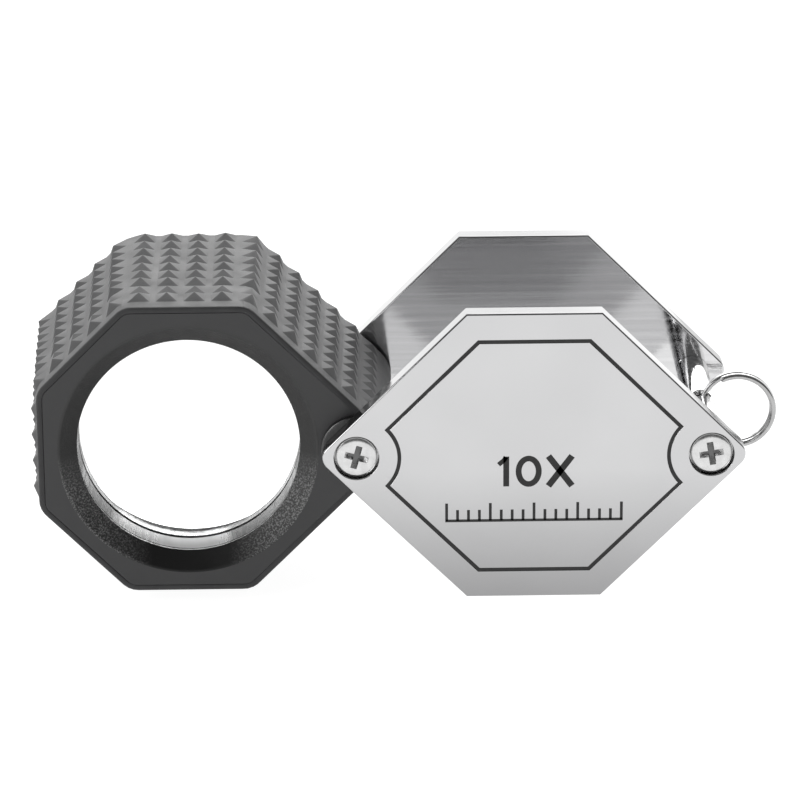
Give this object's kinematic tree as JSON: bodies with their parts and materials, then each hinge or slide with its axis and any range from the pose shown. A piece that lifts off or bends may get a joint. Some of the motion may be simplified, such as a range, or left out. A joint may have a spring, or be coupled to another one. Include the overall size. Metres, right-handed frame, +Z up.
{
  "type": "folding loupe",
  "caption": "Folding pocket loupe: a triplet lens in an octagonal rubber-gripped housing that swings out of a two-plate metal case with a lanyard ring.",
  "frame": {"origin": "middle of the bottom of the open loupe's box, on the surface that it stands on", "axes": "+X from the lens towards the lanyard ring, +Y from the front plate to the rear plate along the lens axis, +Z up"},
  "size_m": [0.069, 0.0254, 0.0288],
  "materials": {
    "chrome_plate": "polished plate, black-filled engraved border on the front one",
    "chrome_post": "polished",
    "screw_steel": "bright cross-recessed screw",
    "washer_steel": "satin",
    "bush_brass": "turned",
    "housing_plastic": "satin black",
    "grip_rubber": "matte, pyramid studs",
    "bezel_plastic": "satin black, fine grain",
    "barrel_metal": "bright turned",
    "lens_glass": "polished, coated",
    "ring_steel": "bright wire"
  },
  "bodies": {
    "case": {"front_cover": "chrome_plate", "rear_cover": "chrome_plate", "pivot_post": "chrome_post", "spacer_post": "chrome_post", "front_pivot_screw": "screw_steel", "front_spacer_screw": "screw_steel", "rear_pivot_screw": "screw_steel", "rear_spacer_screw": "screw_steel", "front_friction_washer": "washer_steel", "rear_friction_washer": "washer_steel"},
    "lens": {"lens_housing": "housing_plastic", "rubber_grip": "grip_rubber", "pivot_bush": "bush_brass", "front_bezel": "bezel_plastic", "rear_bezel": "bezel_plastic", "lens_barrel": "barrel_metal", "front_retaining_ring": "barrel_metal", "rear_retaining_ring": "barrel_metal", "front_flint_element": "lens_glass", "crown_element": "lens_glass", "rear_flint_element": "lens_glass"},
    "ring": {"split_ring": "ring_steel"}
  },
  "joints": [
    {"name": "lens_pivot", "type": "hinge", "parent": "case", "child": "lens", "pos_m": [-0.0047, 0, 0.0144], "axis": [0, 1, 0], "continuous": true},
    {"name": "ring_swing", "type": "hinge", "parent": "case", "child": "ring", "pos_m": [0.02771, 0, 0.0144], "axis": [0, 0, 1], "range_deg": [-65, 65]}
  ]
}
